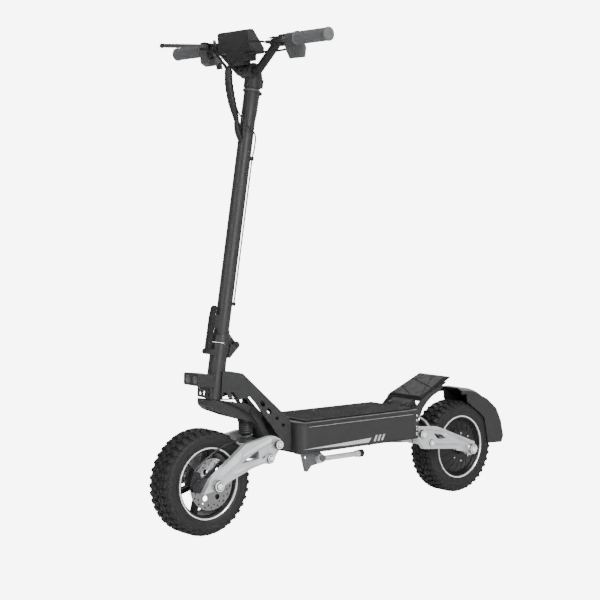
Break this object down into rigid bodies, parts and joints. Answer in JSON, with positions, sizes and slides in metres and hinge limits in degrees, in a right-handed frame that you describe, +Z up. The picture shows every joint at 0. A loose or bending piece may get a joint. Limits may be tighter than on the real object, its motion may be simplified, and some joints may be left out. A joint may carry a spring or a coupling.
{
  "type": "electric kick scooter",
  "caption": "Folding stand-on electric kick scooter with a box deck, swing-arm suspension, wide tyres, disc brakes, a leaning stem and a raised handlebar with display.",
  "frame": {"origin": "middle of the bounding box on the ground plane", "axes": "+X forward, +Y to the rider's left, +Z up"},
  "size_m": [1.228, 0.612, 1.261],
  "materials": {
    "frame_black": "satin",
    "black_metal": "semi-gloss",
    "grey_metal": "satin",
    "silver_cast": "satin",
    "bright_steel": "polished",
    "deck_mat": "matte",
    "grip_rubber": "matte",
    "tyre": "matte",
    "cable": "satin",
    "plastic": "matte",
    "gloss_black": "gloss",
    "lens": "clear",
    "red_lens": "gloss",
    "red_button": "gloss",
    "battery": "matte",
    "coil": "satin"
  },
  "bodies": {
    "chassis": {"deck_shell": "frame_black", "deck_plate": "frame_black", "tread_pads": "deck_mat", "bottom_cover": "plastic", "battery_pack": "battery", "motor_controller": "silver_cast", "deck_screws": "bright_steel", "neck_plates": "frame_black", "neck_web": "frame_black", "head_tube": "frame_black", "headset_bearings": "bright_steel", "headlight_housing": "frame_black", "headlight_lenses": "lens", "tail_bracket": "frame_black", "tail_plate": "frame_black", "tail_light": "red_lens", "kickstand_bracket": "grey_metal", "charge_port": "plastic"},
    "charge_cap": {"charge_cap": "grip_rubber"},
    "steering": {"fork": "frame_black", "fork_hose": "cable", "hinge_base": "frame_black", "fork_bolts": "bright_steel"},
    "stem": {"stem_tube": "frame_black", "fold_hook": "black_metal", "bar_clamp": "frame_black", "handlebar": "black_metal", "grips": "grip_rubber", "display_housing": "plastic", "display_glass": "gloss_black", "lever_perches": "black_metal", "control_pods": "plastic", "control_cables": "cable", "cable_guides": "cable"},
    "latch": {"latch_lever": "black_metal"},
    "left_brake_lever": {"brake_lever_left": "black_metal"},
    "right_brake_lever": {"brake_lever_right": "black_metal"},
    "throttle": {"throttle_lever": "plastic"},
    "horn": {"horn_button": "red_button"},
    "front_arm": {"front_arms": "silver_cast", "front_axle": "bright_steel", "front_caliper": "grey_metal"},
    "front_wheel": {"front_tyre": "tyre", "front_rim": "black_metal", "front_bearings": "bright_steel", "front_rotor": "bright_steel"},
    "front_shock_upper": {"front_shock_body": "black_metal", "front_spring": "coil"},
    "front_shock_lower": {"front_shock_rod": "bright_steel"},
    "rear_arm": {"rear_arms": "silver_cast", "rear_axle": "bright_steel", "rear_caliper": "grey_metal", "fender": "plastic"},
    "rear_wheel": {"rear_tyre": "tyre", "rear_motor": "black_metal", "rear_rotor": "bright_steel"},
    "rear_shock_upper": {"rear_shock_body": "black_metal", "rear_spring": "coil"},
    "rear_shock_lower": {"rear_shock_rod": "bright_steel"},
    "kickstand": {"kickstand_leg": "grey_metal"}
  },
  "joints": [
    {"name": "steering_turn", "type": "hinge", "parent": "chassis", "child": "steering", "pos_m": [0.428, 0, 0.43], "axis": [-0.1504, 0, 0.9886], "range_deg": [-40, 40]},
    {"name": "stem_fold", "type": "hinge", "parent": "steering", "child": "stem", "pos_m": [0.38201, 0, 0.47297], "axis": [0, -1, 0], "range_deg": [0, 90]},
    {"name": "latch_open", "type": "hinge", "parent": "steering", "child": "latch", "pos_m": [0.45899, 0, 0.45899], "axis": [0, 1, 0], "range_deg": [0, 100]},
    {"name": "left_lever_pull", "type": "hinge", "parent": "stem", "child": "left_brake_lever", "pos_m": [0.36778, 0.14, 1.22567], "axis": [0.1908, 0, 0.9816], "range_deg": [0, 20], "stiffness_Nm_per_rad": 2},
    {"name": "right_lever_pull", "type": "hinge", "parent": "stem", "child": "right_brake_lever", "pos_m": [0.3677, -0.14, 1.23487], "axis": [0.0872, 0, -0.9962], "range_deg": [0, 20], "stiffness_Nm_per_rad": 2},
    {"name": "throttle_press", "type": "hinge", "parent": "stem", "child": "throttle", "pos_m": [0.301, -0.171, 1.208], "axis": [0, -1, 0], "range_deg": [0, 20], "stiffness_Nm_per_rad": 0.08},
    {"name": "horn_press", "type": "slide", "parent": "stem", "child": "horn", "axis": [1, 0, 0], "range_m": [0, 0.002], "stiffness_N_per_m": 300},
    {"name": "front_arm_swing", "type": "hinge", "parent": "steering", "child": "front_arm", "pos_m": [0.289, 0, 0.217], "axis": [0, -1, 0], "range_deg": [0, 11], "stiffness_Nm_per_rad": 350, "springref_deg": -11.46},
    {"name": "front_wheel_spin", "type": "hinge", "parent": "front_arm", "child": "front_wheel", "pos_m": [0.481, 0, 0.133], "axis": [0, 1, 0], "continuous": true},
    {"name": "front_shock_tilt", "type": "hinge", "parent": "steering", "child": "front_shock_upper", "pos_m": [0.339, 0, 0.3], "axis": [0, -1, 0], "range_deg": [0, 3], "deforming": ["front_spring"]},
    {"name": "front_shock_travel", "type": "slide", "parent": "front_shock_upper", "child": "front_shock_lower", "axis": [0.0446, 0, 0.999], "range_m": [0, 0.01]},
    {"name": "rear_arm_swing", "type": "hinge", "parent": "chassis", "child": "rear_arm", "pos_m": [-0.231, 0, 0.195], "axis": [0, 1, 0], "range_deg": [0, 10], "stiffness_Nm_per_rad": 350, "springref_deg": -11.46},
    {"name": "rear_wheel_spin", "type": "hinge", "parent": "rear_arm", "child": "rear_wheel", "pos_m": [-0.435, 0, 0.133], "axis": [0, 1, 0], "continuous": true},
    {"name": "rear_shock_tilt", "type": "hinge", "parent": "chassis", "child": "rear_shock_upper", "pos_m": [-0.243, 0, 0.262], "axis": [0, 1, 0], "range_deg": [0, 4.5], "deforming": ["rear_spring"]},
    {"name": "rear_shock_travel", "type": "slide", "parent": "rear_shock_upper", "child": "rear_shock_lower", "axis": [0.2955, 0, 0.9554], "range_m": [0, 0.0065]},
    {"name": "kickstand_swing", "type": "hinge", "parent": "chassis", "child": "kickstand", "pos_m": [0.163, 0.088, 0.167], "axis": [0, -0.9397, -0.342], "range_deg": [0, 95], "stiffness_Nm_per_rad": 0.5, "springref_deg": -34.38},
    {"name": "charge_cap_open", "type": "hinge", "parent": "chassis", "child": "charge_cap", "pos_m": [0.12, -0.1004, 0.253], "axis": [1, 0, 0], "range_deg": [-135, 0]}
  ],
  "couplings": [
    {"joint": "front_shock_tilt", "follows": "front_arm_swing", "ratio": 0.22184},
    {"joint": "front_shock_travel", "follows": "front_arm_swing", "m_per_rad": 0.047895},
    {"joint": "rear_shock_tilt", "follows": "rear_arm_swing", "ratio": 0.40027},
    {"joint": "rear_shock_travel", "follows": "rear_arm_swing", "m_per_rad": 0.033016}
  ]
}
